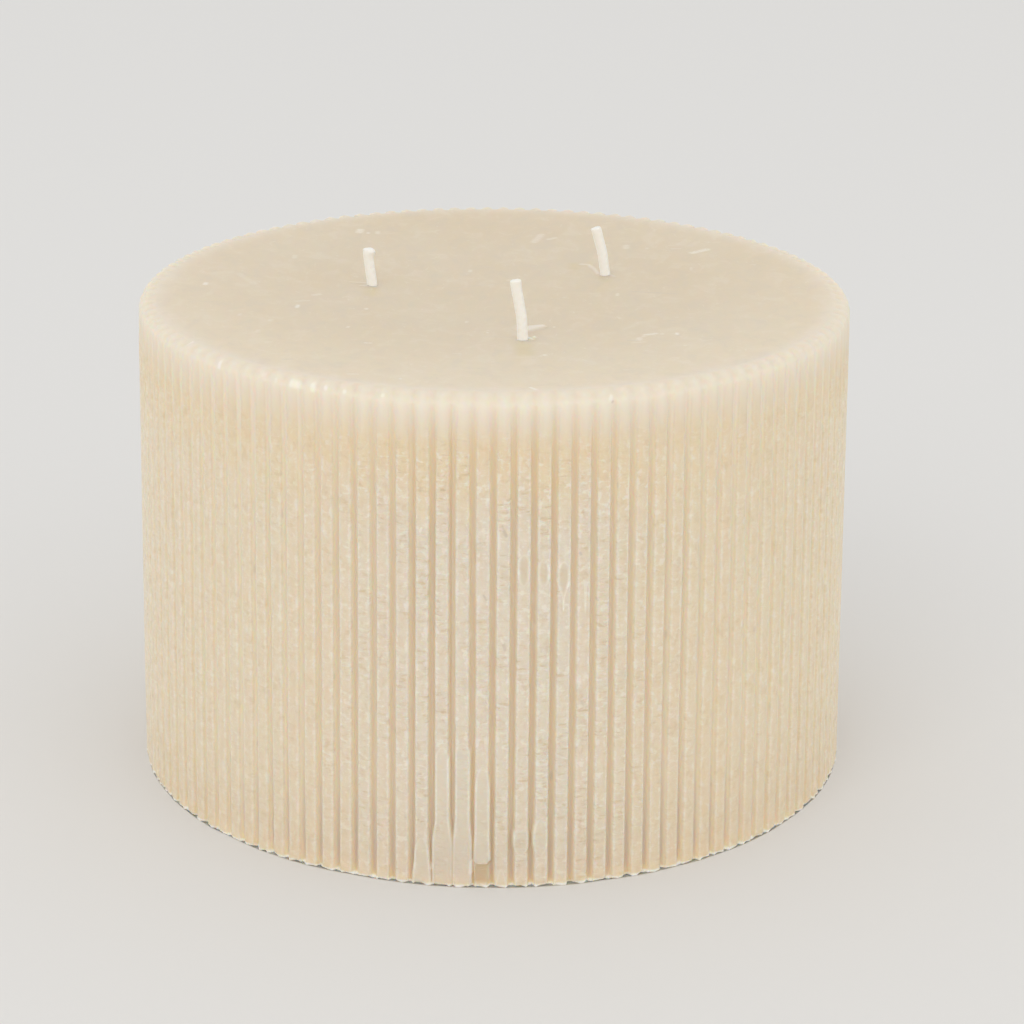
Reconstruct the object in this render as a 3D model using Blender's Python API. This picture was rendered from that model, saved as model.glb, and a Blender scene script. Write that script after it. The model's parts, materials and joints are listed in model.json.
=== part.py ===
# Ribbed pillar candle with three wicks.
# The body is one casting of wax with upright ribs all round its side. Three cotton wicks run
# down through it, and each is crimped at its foot into a tinplate tab in a recess of the base.
# Metres, +Z up. The origin is the centre of the base, and -Y is the front.

import math

import bmesh
import bpy

# Wax body
BASE_RADIUS = 0.075  # over the crests of the ribs, where the side starts
BODY_HEIGHT = 0.100  # base to the rim
DRAFT_ANGLE = math.radians(0.9)  # the side leans in towards the top, to leave its mould
BASE_CHAMFER = 0.0006
SHOULDER_RADIUS = 0.0022  # rounding between the side and the top
SHOULDER_STEPS = 3

# Ribs
RIB_COUNT = 120
RIB_DEPTH = 0.0011
RIB_TURN = math.radians(1.885)  # first crest, measured from the front towards +X
RIB_FLANK = 0.34  # share of the pitch from a crest to where its groove starts to fall steeply
RIB_ROUNDNESS = 4.0  # exponent of the rib's arch: 2 is a half ellipse, more is flatter on top
RIB_FADE = 0.75  # how soon the grooves run out over the shoulder

# Top face, which sank a little while the wax cooled
DISH_DEPTH = 0.0024
RIM_WIDTH = 0.0008  # flat ring between the shoulder and the dish
DISH_SEGMENTS = 96
DISH_STEPS = 5

# Wicks
WICK_DIAMETER = 0.0021
WICK_CIRCLE_RADIUS = 0.0296
WICK_CIRCLE_CENTRE = (0.0011, 0.0004)  # the wicks stand slightly off the middle
WICK_CIRCLE_TURN = math.radians(10.3)  # front wick, measured from the front towards +X
WICK_BEND_LENGTH = 0.0025  # stretch above the wax over which a wick takes up its lean
WICK_STUB_STEPS = 6
WICK_STUBS = {  # place on the circle, drift off it, length above the wax, degrees of lean to -X
    "front": (0, (-0.0006, -0.0008), 0.0124, 8.4),
    "right": (1, (-0.0002, 0.0005), 0.0107, 13.1),
    "left": (2, (0.0008, 0.0001), 0.0080, 5.5),
}

# Wick tabs
TAB_DIAMETER = 0.020
TAB_THICKNESS = 0.0004
TAB_NECK_HEIGHT = 0.009
TAB_NECK_WALL = 0.00035
TAB_RECESS = 0.0005  # the tab's underside lies this far above the base
TAB_SEGMENTS = 32

CLEARANCE = 0.0003  # between any two pieces that touch on the real candle
CUT_PAST = 0.004  # how far a cutter runs past the face that it opens

# Colours, linear RGB
WAX_COLOUR = (0.75, 0.62, 0.44)
WICK_COLOUR = (0.88, 0.80, 0.66)
TAB_COLOUR = (0.62, 0.61, 0.58)


def clear_scene():
    for obj in list(bpy.data.objects):
        bpy.data.objects.remove(obj, do_unlink=True)


def make_material(name, colour, roughness, metallic=0.0):
    material = bpy.data.materials.new(name)
    material.use_nodes = True
    shader = material.node_tree.nodes["Principled BSDF"]
    shader.inputs["Base Color"].default_value = (*colour, 1.0)
    shader.inputs["Roughness"].default_value = roughness
    shader.inputs["Metallic"].default_value = metallic
    return material


def add_object(name, data, material=None):
    obj = bpy.data.objects.new(name, data)
    bpy.context.scene.collection.objects.link(obj)
    if material:
        data.materials.append(material)
    return obj


def mesh_from(bm, name, sharp_degrees=35):
    """Closes off a bmesh as a mesh that is shaded smooth except at its real edges."""
    bmesh.ops.recalc_face_normals(bm, faces=bm.faces)
    mesh = bpy.data.meshes.new(name)
    bm.to_mesh(mesh)
    bm.free()
    mesh.shade_smooth()
    mesh.set_sharp_from_angle(angle=math.radians(sharp_degrees))
    return mesh


def turned_mesh(name, outline, segments, closed=False):
    """Spins an outline of (radius, height) points round Z. A closed outline makes a ring."""
    bm = bmesh.new()
    points = [bm.verts.new((radius, 0.0, height)) for radius, height in outline]
    edges = [bm.edges.new(pair) for pair in zip(points, points[1:])]
    if closed:
        edges.append(bm.edges.new((points[-1], points[0])))
    bmesh.ops.spin(
        bm,
        geom=points + edges,
        cent=(0, 0, 0),
        axis=(0, 0, 1),
        angle=2 * math.pi,
        steps=segments,
        use_merge=True,
    )
    bmesh.ops.remove_doubles(bm, verts=bm.verts, dist=1e-6)
    return mesh_from(bm, name)


def cut(obj, name, mesh, location=(0.0, 0.0, 0.0)):
    """Takes a cutter's shape out of an object."""
    cutter = add_object(name, mesh)
    cutter.location = location
    cutter.hide_render = True
    cutter.display_type = "WIRE"
    modifier = obj.modifiers.new(name, "BOOLEAN")
    modifier.operation = "DIFFERENCE"
    modifier.solver = "EXACT"
    modifier.object = cutter


# Sizes that follow from the ones above
SIDE_TOP = BODY_HEIGHT - SHOULDER_RADIUS
SIDE_TOP_RADIUS = BASE_RADIUS - math.tan(DRAFT_ANGLE) * (SIDE_TOP - BASE_CHAMFER)
RIM_RADIUS = SIDE_TOP_RADIUS - SHOULDER_RADIUS
DISH_RADIUS = RIM_RADIUS - RIM_WIDTH
DISH_SPHERE = (DISH_RADIUS**2 + DISH_DEPTH**2) / (2 * DISH_DEPTH)
NECK_BORE_RADIUS = WICK_DIAMETER / 2 + CLEARANCE
NECK_RADIUS = NECK_BORE_RADIUS + TAB_NECK_WALL
TAB_TOP = TAB_RECESS + TAB_THICKNESS
NECK_TOP = TAB_RECESS + TAB_NECK_HEIGHT


def groove_depth(phase):
    """Depth below the crest at a phase of -0.5 to 0.5 of the pitch, for an arched rib."""
    arch = (1 - abs(2 * phase) ** RIB_ROUNDNESS) ** (1 / RIB_ROUNDNESS)
    return RIB_DEPTH * (1 - arch)


def side_levels():
    """(crest radius, height, outward slope of the surface, share of the rib depth) up the body."""
    levels = [
        (BASE_RADIUS - BASE_CHAMFER, 0.0, 0.0, 1.0),
        (BASE_RADIUS, BASE_CHAMFER, 0.0, 1.0),
    ]
    for step in range(SHOULDER_STEPS + 1):
        slope = math.pi / 2 * step / SHOULDER_STEPS
        radius = RIM_RADIUS + SHOULDER_RADIUS * math.cos(slope)
        height = SIDE_TOP + SHOULDER_RADIUS * math.sin(slope)
        share = max(math.cos(slope), 0.0) ** RIB_FADE if step < SHOULDER_STEPS else 0.0
        levels.append((radius, height, slope, share))
    return levels


def ring_of_columns():
    """(angle, groove depth) of each column of points: a groove, a flank, a crest and a flank."""
    pitch = 2 * math.pi / RIB_COUNT
    columns = []
    for rib in range(RIB_COUNT):
        for phase in (-0.5, -RIB_FLANK, 0.0, RIB_FLANK):
            columns.append((RIB_TURN + (rib + phase) * pitch, groove_depth(phase)))
    return columns


def column_point(column, level):
    """A column's point at a level. The groove is sunk square to the surface there."""
    angle, depth = column
    radius, height, slope, share = level
    radius -= depth * share * math.cos(slope)
    height -= depth * share * math.sin(slope)
    return (radius * math.sin(angle), -radius * math.cos(angle), height)


def make_wax_mesh():
    """The ribbed outside: rings of columns from the base edge to the rim, with flat caps."""
    bm = bmesh.new()
    columns = ring_of_columns()
    rings = [
        [bm.verts.new(column_point(column, level)) for column in columns]
        for level in side_levels()
    ]
    for lower, upper in zip(rings, rings[1:]):
        for i in range(len(columns)):
            bm.faces.new((lower[i - 1], lower[i], upper[i], upper[i - 1]))
    bm.faces.new(rings[0])
    bm.faces.new(rings[-1])
    return mesh_from(bm, "wax_body", sharp_degrees=50)


def dish_height(radius):
    """Height of the top face at a distance from the body's axis."""
    sphere_centre = BODY_HEIGHT - DISH_DEPTH + DISH_SPHERE
    return sphere_centre - math.sqrt(DISH_SPHERE**2 - radius**2)


def dish_cutter_mesh():
    """A shallow cap of a sphere that comes up through the top face at the dish's edge."""
    outer = DISH_RADIUS + RIM_WIDTH / 2
    radii = [outer * step / DISH_STEPS for step in range(DISH_STEPS + 1)]
    outline = [(radius, dish_height(radius)) for radius in radii]
    top = BODY_HEIGHT + CUT_PAST
    return turned_mesh("dish_cutter", [*outline, (outer, top), (0.0, top)], DISH_SEGMENTS)


def channel_cutter_mesh():
    """The stepped hole of one wick: tab recess, neck hole and wick hole, each with clearance."""
    recess = TAB_DIAMETER / 2 + CLEARANCE
    neck = NECK_RADIUS + CLEARANCE
    wick = WICK_DIAMETER / 2 + CLEARANCE
    outline = [
        (0.0, -CUT_PAST),
        (recess, -CUT_PAST),
        (recess, TAB_TOP + CLEARANCE),
        (neck, TAB_TOP + CLEARANCE),
        (neck, NECK_TOP + CLEARANCE),
        (wick, NECK_TOP + CLEARANCE),
        (wick, BODY_HEIGHT + CUT_PAST),
        (0.0, BODY_HEIGHT + CUT_PAST),
    ]
    return turned_mesh("channel_cutter", outline, TAB_SEGMENTS)


def tab_mesh():
    """A thin disc with a neck that stands up round the wick, open from end to end."""
    outline = [
        (NECK_BORE_RADIUS, TAB_RECESS),
        (TAB_DIAMETER / 2, TAB_RECESS),
        (TAB_DIAMETER / 2, TAB_TOP),
        (NECK_RADIUS, TAB_TOP),
        (NECK_RADIUS, NECK_TOP),
        (NECK_BORE_RADIUS, NECK_TOP),
    ]
    return turned_mesh("wick_tab", outline, TAB_SEGMENTS, closed=True)


def wick_place(slot, drift):
    """Centre of a wick in plan: its even step round the wick circle, plus how far it drifted."""
    angle = WICK_CIRCLE_TURN + slot * 2 * math.pi / len(WICK_STUBS)
    return (
        WICK_CIRCLE_CENTRE[0] + WICK_CIRCLE_RADIUS * math.sin(angle) + drift[0],
        WICK_CIRCLE_CENTRE[1] - WICK_CIRCLE_RADIUS * math.cos(angle) + drift[1],
    )


def wick_path(foot_height, stub_length, lean):
    """(x, z) points of a wick: straight in the wax, then turning to its lean above it."""
    points = [(0.0, TAB_RECESS), (0.0, foot_height)]
    x, z = points[-1]
    step = stub_length / WICK_STUB_STEPS
    for i in range(WICK_STUB_STEPS):
        travelled = (i + 0.5) * step
        angle = lean * min(travelled / WICK_BEND_LENGTH, 1.0)
        x -= step * math.sin(angle)
        z += step * math.cos(angle)
        points.append((x, z))
    return points


def wick_curve(name, points):
    """A round cord along a path in the XZ plane, with closed ends."""
    curve = bpy.data.curves.new(name, "CURVE")
    curve.dimensions = "3D"
    curve.bevel_depth = WICK_DIAMETER / 2
    curve.bevel_resolution = 2
    curve.use_fill_caps = True
    spline = curve.splines.new("POLY")
    spline.points.add(len(points) - 1)
    for point, (x, z) in zip(spline.points, points):
        point.co = (x, 0.0, z, 1.0)
    return curve


def build_candle():
    clear_scene()
    wax = make_material("wax", WAX_COLOUR, 0.45)
    cotton = make_material("wick", WICK_COLOUR, 0.85)
    tinplate = make_material("tab", TAB_COLOUR, 0.35, metallic=1.0)

    body = add_object("wax_body", make_wax_mesh(), wax)
    cut(body, "dish_cutter", dish_cutter_mesh())
    channel = channel_cutter_mesh()
    tab = tab_mesh()
    tab.materials.append(tinplate)

    for side, (slot, drift, stub_length, lean_degrees) in WICK_STUBS.items():
        x, y = wick_place(slot, drift)
        cut(body, "channel_cutter_" + side, channel, (x, y, 0.0))
        foot_height = dish_height(math.hypot(x, y))
        path = wick_path(foot_height, stub_length, math.radians(lean_degrees))
        name = "wick_" + side
        add_object(name, wick_curve(name, path), cotton).location = (x, y, 0.0)
        add_object("wick_tab_" + side, tab).location = (x, y, 0.0)


build_candle()
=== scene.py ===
# Ribbed three-wick candle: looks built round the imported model.
# Metres, +Z up, the base stands on z = 0 and -Y is the front.
import json
import math

import bpy
import numpy as np
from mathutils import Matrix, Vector, geometry

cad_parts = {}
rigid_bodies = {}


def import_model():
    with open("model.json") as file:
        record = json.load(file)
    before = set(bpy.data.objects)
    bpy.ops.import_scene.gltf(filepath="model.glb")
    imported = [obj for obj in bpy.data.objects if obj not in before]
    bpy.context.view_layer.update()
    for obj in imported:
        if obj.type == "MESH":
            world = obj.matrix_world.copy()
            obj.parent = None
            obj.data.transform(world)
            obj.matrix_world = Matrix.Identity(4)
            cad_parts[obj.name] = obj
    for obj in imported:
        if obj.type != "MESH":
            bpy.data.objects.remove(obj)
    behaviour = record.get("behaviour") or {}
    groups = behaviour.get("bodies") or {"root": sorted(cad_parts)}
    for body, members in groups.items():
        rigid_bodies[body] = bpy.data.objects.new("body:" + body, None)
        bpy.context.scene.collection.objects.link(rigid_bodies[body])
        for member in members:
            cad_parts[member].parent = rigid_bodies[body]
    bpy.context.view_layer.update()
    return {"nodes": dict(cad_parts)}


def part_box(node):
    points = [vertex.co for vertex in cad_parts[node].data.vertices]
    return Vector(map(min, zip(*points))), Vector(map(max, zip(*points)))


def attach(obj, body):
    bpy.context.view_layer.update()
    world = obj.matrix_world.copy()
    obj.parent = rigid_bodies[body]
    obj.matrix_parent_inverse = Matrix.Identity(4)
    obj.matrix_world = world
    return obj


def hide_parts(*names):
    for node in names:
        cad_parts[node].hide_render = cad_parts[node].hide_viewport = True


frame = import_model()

print("frame loaded:", ", ".join(sorted(frame["nodes"])))

mm = 0.001


def addObject(name, data):
    made = bpy.data.objects.new(name, data)
    bpy.context.scene.collection.objects.link(made)
    return made


# camera

camera = {
    "lens": 105.684,
    "place": (0.0039706, -0.6034473, 0.2665498),
    "tilt": 70.357,  # degrees up from looking straight down
    "roll": 0.487,
}


def makeCamera():
    # turned about its own X by the tilt after the roll about its line of sight
    data = bpy.data.cameras.new("camera")
    data.lens = camera["lens"]
    data.sensor_width = 36.0
    data.clip_start = 0.01
    data.clip_end = 50.0
    seen = addObject("camera", data)
    seen.rotation_mode = "ZYX"
    seen.rotation_euler = (math.radians(camera["tilt"]), 0.0, math.radians(camera["roll"]))
    seen.location = camera["place"]
    bpy.context.scene.camera = seen


makeCamera()
print("camera made")


# small tools for meshes

def addPiece(name, points, faces, materials, replaced):
    # a closed mesh at the origin, smooth all over, riding on the one body
    mesh = bpy.data.meshes.new(name)
    mesh.from_pydata(points.tolist(), [], faces)
    mesh.shade_smooth()
    for material in materials:
        mesh.materials.append(material)
    mesh.update()
    piece = addObject(name, mesh)
    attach(piece, "root")
    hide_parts(replaced)
    return piece


def gridFaces(rows, columns, start=0, closed=False):
    # quads between neighbouring rows of a grid that closes on itself round its columns, and
    # where asked between its last row and its first
    steps = rows if closed else rows - 1
    row, column = np.meshgrid(np.arange(steps), np.arange(columns), indexing="ij")
    nextRow, after = (row + 1) % rows, (column + 1) % columns
    corners = [(row, column), (row, after), (nextRow, after), (nextRow, column)]
    return np.stack([a * columns + b for a, b in corners], -1).reshape(-1, 4) + start


def fan(start, count, tip):
    # triangles between a ring of points and one tip
    join = np.arange(count)
    return np.stack([start + join, start + (join + 1) % count, np.full(count, tip)], 1)


def smoothStep(low, high, value):
    # 0 below low, 1 above high, and w * w * (3 - 2 w) between them
    w = np.clip((value - low) / (high - low), 0.0, 1.0)
    return w * w * (3 - 2 * w)


def bell(value, width):
    # exp(-(value / width)^2)
    return np.exp(-(value / width)**2)


def ring(radius, count, centre=(0.0, 0.0)):
    # a circle: centre + radius * (sin a, -cos a), with a from the front towards +X
    angle = np.arange(count) * 2 * np.pi / count
    return np.stack([centre[0] + radius * np.sin(angle), centre[1] - radius * np.cos(angle)], 1)


def lineGap(points, start, end):
    # h = (p - start) . (end - start) / |end - start|^2 within 0 and 1, the share of the way
    # along where each point is nearest to the line, and its distance there
    along = end - start
    h = np.clip(((points - start) @ along) / (along @ along), 0, 1)
    return h, np.linalg.norm(points - start - h[:, None] * along, axis=1)


def wickGap(points, wickPlaces):
    # distance to the nearest wick
    return np.min([np.hypot(*(points - place).T) for place in wickPlaces], axis=0)


def fillFlat(points, loops):
    # triangles over scattered points, kept inside the given closed loops of edges
    edges = []
    for loop in loops:
        edges += list(zip(loop, loop[1:] + loop[:1]))
    flat = [Vector(point) for point in points.tolist()]
    found = geometry.delaunay_2d_cdt(flat, edges, [], 0, 1e-9)
    return np.array(found[0]), np.array(found[2])


# wax body

body = {
    "radius": 75.0 * mm,  # over the ribs at the foot
    "height": 100.0 * mm,
    "draft": math.radians(0.9),
    "footBevel": 0.6 * mm,
    "shoulder": 2.2 * mm,
    "rim": 0.8 * mm,
    "dish": 2.4 * mm,
    "ribs": 120,
    "ribTurn": math.radians(1.885),  # first crest
    "grooveDepth": 1.1 * mm,
    "uneven": (0.06, 0.012),  # spread of the depths, and the ribs' wander in pitches
    "crestEdge": 0.52,  # where the flat crest ends, as a share of half a pitch
    "grooveFloor": 0.85,
    "crown": 0.04,  # how much of the depth the crest's own curve takes
    # on the shoulder the scallops' share of the depth, and mm over which they and the grooves
    # come in
    "fade": (0.40, 0.75, 3.7, 9.5),
    # the far half of the rim: ribs from the front between which its deeper scallops begin,
    # their share of the depth, and their notch and rise in mm
    "farRim": (20, 40, 0.25, 0.30, 0.12),
    "foot": (0.55, 0.14, 0.85),  # burr in the grooves, lip and deepest break in mm
    "outOfRound": 0.06 * mm,
    "baseRing": (72.4, 360),  # mm and points, just inside the ragged edge of the base
    "seed": 11,
}

# frozen runs and drops: crest number, top and bottom in mm, half widths in ribs above and
# below the flare, flare from and to in mm, rounding of the two ends in mm, how proud in mm
markKeys = ("rib", "top", "bottom", "upper", "lower", "flare", "ends", "proud")
drips = [dict(zip(markKeys, row)) for row in [
    (-3.99, 10.0, -2.0, 0.37, 0.46, (1.5, 5.5), (4.0, 0.3), 0.10),
    (-2.97, 29.3, -2.0, 0.34, 0.49, (8.5, 15.0), (2.6, 0.3), 0.16),
    (-1.96, 30.4, -2.0, 0.36, 0.47, (8.5, 15.0), (2.0, 0.3), 0.18),
    (-0.97, 25.6, 5.1, 0.36, 0.41, (6.0, 12.0), (5.0, 0.3), 0.16),
    (0.01, 4.0, -2.0, 0.22, 0.30, (0.5, 2.5), (3.4, 0.3), 0.12),
    (0.97, 12.5, 6.9, 0.37, 0.33, (7.0, 8.5), (1.2, 1.8), 0.12),
    (1.95, 14.3, 6.6, 0.37, 0.37, (7.0, 9.0), (3.6, 3.2), 0.14),
]]

# flat rings left by drops half way up, in the same terms
ringMarks = [dict(zip(markKeys, row)) for row in [
    (1.00, 68.8, 62.6, 0.33, 0.30, (63.0, 66.0), (1.6, 2.0)),
    (1.97, 67.9, 62.2, 0.33, 0.30, (62.0, 66.0), (2.4, 2.6)),
    (2.96, 67.2, 57.0, 0.35, 0.05, (59.0, 63.8), (2.6, 1.0)),
    (4.07, 63.6, 56.4, 0.08, 0.06, (57.0, 62.0), (1.0, 1.0)),
]]

chippedPatch = {"rib": -0.98, "half": 0.37, "low": 0.9, "high": 5.0, "deep": 0.22}

# ridges of wax on the top face near the wicks: points, width at both ends and height in mm, and how
# pale: a painted highlight along each raised ridge
ridges = [
    ([(6.5, -21.3), (8.5, -20.0), (9.7, -19.3)], (2.0, 0.9), 0.4, 0.75),
    ([(6.4, -28.6), (7.5, -29.3)], (1.3, 0.5), 0.35, 1.0),
    ([(8.05, -28.1), (8.15, -28.0)], (0.42, 0.42), 0.5, 1.0),
    ([(-30.9, 12.4), (-27.2, 12.4)], (0.2, 0.3), 0.12, 0.6),
    ([(-28.6, 9.9), (-27.0, 9.7)], (0.3, 0.6), 0.16, 0.5),
    ([(18.6, 28.2), (20.1, 27.9), (21.3, 24.6), (22.0, 20.8)], (0.6, 0.4), 0.14, 0.55),
    ([(24.4, 19.4), (25.6, 18.9)], (0.7, 0.3), 0.1, 0.35),
]

# rings of points round each wick: radius in mm and count
wickRings = [(0.5, 10), (0.9, 24), (1.05, 32), (1.2, 32), (1.4, 32), (1.75, 32), (2.3, 32),
             (3.0, 30), (3.8, 30), (4.7, 30)]


def sideRadius(z):
    # crest radius: it tapers by the draft above the foot's bevel
    return body["radius"] - math.tan(body["draft"]) * (z - body["footBevel"])


rng = np.random.default_rng(body["seed"])
pitch = 2 * math.pi / body["ribs"]
sideTop = body["height"] - body["shoulder"]
rimRadius = sideRadius(sideTop) - body["shoulder"]
dishRadius = rimRadius - body["rim"]
dishSphere = (dishRadius**2 + body["dish"]**2) / (2 * body["dish"])


def mapRib(number):
    # a crest number from the front as the rib map counts it, from -0.5 to 119.5
    return (number + 0.5) % body["ribs"] - 0.5


def grooveShare(t, deep):
    # on the side s(w) with w = (t - crestEdge) / (grooveFloor - crestEdge), plus a crown c:
    # (1 - c) s + c t * t; on the shoulder a plain wave (1 - cos(pi t)) / 2
    crown = body["crown"]
    cut = smoothStep(body["crestEdge"], body["grooveFloor"], t) * (1 - crown) + crown * t * t
    wave = (1 - np.cos(np.pi * t)) / 2
    return wave + (cut - wave) * deep


def dripReach(drip, rib, height):
    # distance from a drip's middle over its half width there: 1 is its edge. The half width
    # is a smooth step from lower to upper, times sqrt(1 - (1 - e)^2) over each rounded end
    half = drip["lower"] + (drip["upper"] - drip["lower"]) * smoothStep(*drip["flare"], height)
    fromTop = np.clip((drip["top"] - height) / drip["ends"][0], 0, 1)
    fromBottom = np.clip((height - drip["bottom"]) / drip["ends"][1], 0, 1)
    half = half * np.sqrt(1 - (1 - fromTop)**2) * np.sqrt(1 - (1 - fromBottom)**2)
    return np.abs(rib - drip["rib"]) / np.maximum(half, 1e-4)


def dishHeight(radius):
    # a cap of a sphere that meets the rim
    return body["height"] - body["dish"] + dishSphere - np.sqrt(dishSphere**2 - radius**2)


def waves(u, count, low, high):
    # a sum of sines of whole frequencies, so that it closes round the body, scaled to about +-1
    frequency = rng.integers(low, high, count)
    phase = rng.uniform(0, 2 * np.pi, count)
    return np.sin(u[..., None] * frequency + phase).sum(-1) / math.sqrt(count)


def sideRows():
    # radius, height, slope and distance from the rim's inner edge: up the side, over the
    # shoulder and inwards over the rim
    side = np.concatenate([
        [0.0, 0.2, 0.45, 0.8, 1.4, 2.1, 2.9, 3.8, 4.7, 5.15, 5.8, 6.7],
        np.arange(7.8, 31, 1.15),
        np.linspace(32.2, 90.0, 15),
        [92.5, 94.5, 96.2],
    ]) * mm
    slope = np.radians([0, 15, 30, 45, 60, 75, 90])
    bend, rim, top, upright = body["shoulder"], body["rim"], body["height"], math.pi / 2
    rows = [(sideRadius(z), z, 0.0, rim + bend * math.pi / 2 + sideTop - z) for z in side]
    rows += [(rimRadius + bend * math.cos(a), sideTop + bend * math.sin(a), a,
              rim + bend * (upright - a)) for a in slope]
    rows += [(dishRadius + rim / 2, top, upright, rim / 2), (dishRadius, top, upright, 0.0)]
    return np.array(rows)


def makeBodyGrid():
    # point(column, row) = crest radius less the groove depth, sunk square to the surface:
    # r = R - d cos(slope), z = Z - d sin(slope), at (r sin a, -r cos a, z)
    phase = np.array([-1, -0.88, -0.78, -0.68, -0.58, -0.48, 0, 0.48, 0.58, 0.68, 0.78, 0.88]) / 2
    rib = (np.arange(body["ribs"])[:, None] + phase).ravel()
    t = np.tile(np.abs(2 * phase), body["ribs"])
    radius, height, slope, down = sideRows().T[:, :, None]
    angle = body["ribTurn"] + rib * pitch
    fromFront = (rib + body["ribs"] / 2) % body["ribs"] - body["ribs"] / 2
    up, down = height / mm, np.maximum(down, 0) / mm

    # no two ribs are quite alike: depth, and a slow sideways wander up the side
    index = np.rint(rib).astype(int) % body["ribs"]
    spread, sideways = body["uneven"]
    depth = body["grooveDepth"] * (1 + spread * rng.standard_normal(body["ribs"]))[index]
    wander = pitch * sideways * np.sin(up / 17 + waves(angle, 3, 2, 9) * 3)

    # over l mm from the rim's inner edge the grooves come in as
    # a (1 - exp(-l / b)) + (1 - a) (1 - exp((c - l) / d))
    scallop, quick, begin, slow = body["fade"]
    farLow, farHigh, farShare, farNotch, farRise = body["farRim"]
    far = smoothStep(farLow, farHigh, np.abs(fromFront))
    scallop = scallop + farShare * far
    deep = 1 - np.exp(-np.maximum(down - begin, 0) / slow)
    share = scallop * (1 - np.exp(-down / quick)) + (1 - scallop) * deep

    # round the far side the scallops run right over the rim and are narrower: the plain wave
    # to the power 1.9, with a notch n exp(-(l / 1.6)^2), and crests that rise by as wide a bell
    burr, lip, broken = body["foot"]
    profile = grooveShare(t, deep)**(1 + 0.9 * far * (1 - deep))
    notch = farNotch * mm * far * bell(down, 1.6)
    rise = farRise * mm * far * bell(down - 1.8, 1.3)
    sunk = profile * (depth * share * (1 - burr * bell(up, 0.6)) + notch) - rise * (1 - profile)

    # drips lie over the rib and part of its groove: proud * (1 - reach^2), steep past the edge
    over = -sunk
    for drip in drips:
        reach = dripReach(drip, fromFront, up)
        lift = drip["proud"] * mm * (1 - np.minimum(reach, 1)**2) - np.maximum(reach - 1, 0) * 6 * mm
        over = np.maximum(over, lift)
    patch = chippedPatch
    inPatch = (up > patch["low"]) & (up < patch["high"])
    inPatch = inPatch & (np.abs(fromFront - patch["rib"]) < patch["half"])
    over = np.where(inPatch, -patch["deep"] * mm, over)

    # the foot is ragged: a thin lip, broken away here and there
    chips = np.clip(0.45 + 0.6 * waves(angle, 9, 40, 420), 0, 1)
    over = over + (lip * bell(up - 0.4, 0.3) - broken * chips * bell(up, 0.45)) * mm

    swell = body["outOfRound"] * waves(angle, 4, 2, 6)
    swell = swell * smoothStep(0, 20, up) * smoothStep(0, 8, body["height"] / mm - up)
    angles = angle + wander * deep
    r = radius + over * np.cos(slope) + swell
    z = height + over * np.sin(slope) + 0 * r
    return np.stack([r * np.sin(angles), -r * np.cos(angles), z], -1), rib


def ridgeMasks(points):
    # how far up each ridge a point lies: exp(-(distance / width)^4), the width running
    # from its first to its last value along the path
    high, pale = np.zeros(len(points)), np.zeros(len(points))
    for path, (first, last), rise, strength in ridges:
        path = np.array(path)
        steps = len(path) - 1
        best = np.zeros(len(points))
        for i in range(steps):
            h, gap = lineGap(points, path[i], path[i + 1])
            width = first + (last - first) * (i + h) / steps
            best = np.maximum(best, np.exp(-(gap / width)**4))
        high += best * rise
        pale = np.maximum(pale, best * strength)
    return high, pale


def topPoints(wickPlaces):
    # hexagonal grids of three spacings, the finer ones only beside the ridges, with rings
    # round each wick and two thinning rings inside the rim
    def hexagons(step):
        across, up = np.arange(-72, 72, step), np.arange(-72, 72, step * 0.866)
        x, y = np.meshgrid(across, up)
        x = x + (np.arange(len(up)) % 2)[:, None] * step / 2
        return np.stack([x.ravel(), y.ravel()], 1)

    def ridgeGap(points):
        paths = [np.array(ridge[0]) for ridge in ridges]
        lines = [line for path in paths for line in zip(path, path[1:])]
        return np.min([lineGap(points, *line)[1] for line in lines], axis=0)

    outer = dishRadius / mm
    fineTo, mediumTo = 1.5, 3.2  # mm from a ridge
    clear, clearFine = 5.2, 1.9  # mm from a wick
    coarse, medium, fine = hexagons(1.7), hexagons(0.8), hexagons(0.36)
    coarse = coarse[(np.hypot(*coarse.T) < outer - 2.4) & (ridgeGap(coarse) > mediumTo)]
    medium = medium[(ridgeGap(medium) <= mediumTo) & (ridgeGap(medium) > fineTo)]
    fine = fine[ridgeGap(fine) <= fineTo]
    keep = [
        ring(outer - 0.55, 480),
        ring(outer - 1.5, 300),
        coarse[wickGap(coarse, wickPlaces) > clear],
        medium[wickGap(medium, wickPlaces) > clear],
        fine[wickGap(fine, wickPlaces) > clearFine],
    ]
    for place in wickPlaces:
        for radius, count in wickRings:
            circle = ring(radius, count, place)
            keep.append(circle[(ridgeGap(circle) > fineTo) | (radius < clearFine)])
    return np.concatenate(keep)


def topHeights(points, wickPlaces):
    # dish, plus the wax drawn up round each wick 0.12 exp(-(d - 1) / 0.4) and the hollow round
    # that, plus ridges and a slow unevenness, all in mm
    radius = np.hypot(*points.T)
    inside = smoothStep(0, 4, dishRadius / mm - radius)
    high = dishHeight(radius * mm) / mm
    for place in wickPlaces:
        gap = np.hypot(*(points - place).T)
        high += 0.12 * np.exp(-np.maximum(gap - 1.0, 0) / 0.4) - 0.08 * bell(gap - 3.2, 2.2)
    ridge, pale = ridgeMasks(points)
    x, y = points.T
    slow = 0.05 * np.sin(x / 9.1 + 1.2 * np.sin(y / 13)) * np.cos(y / 10.3 + 0.4)
    slow = slow + 0.03 * np.sin(x / 4.3 + y / 5.7)
    return high + ridge + slow * inside, pale


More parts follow.
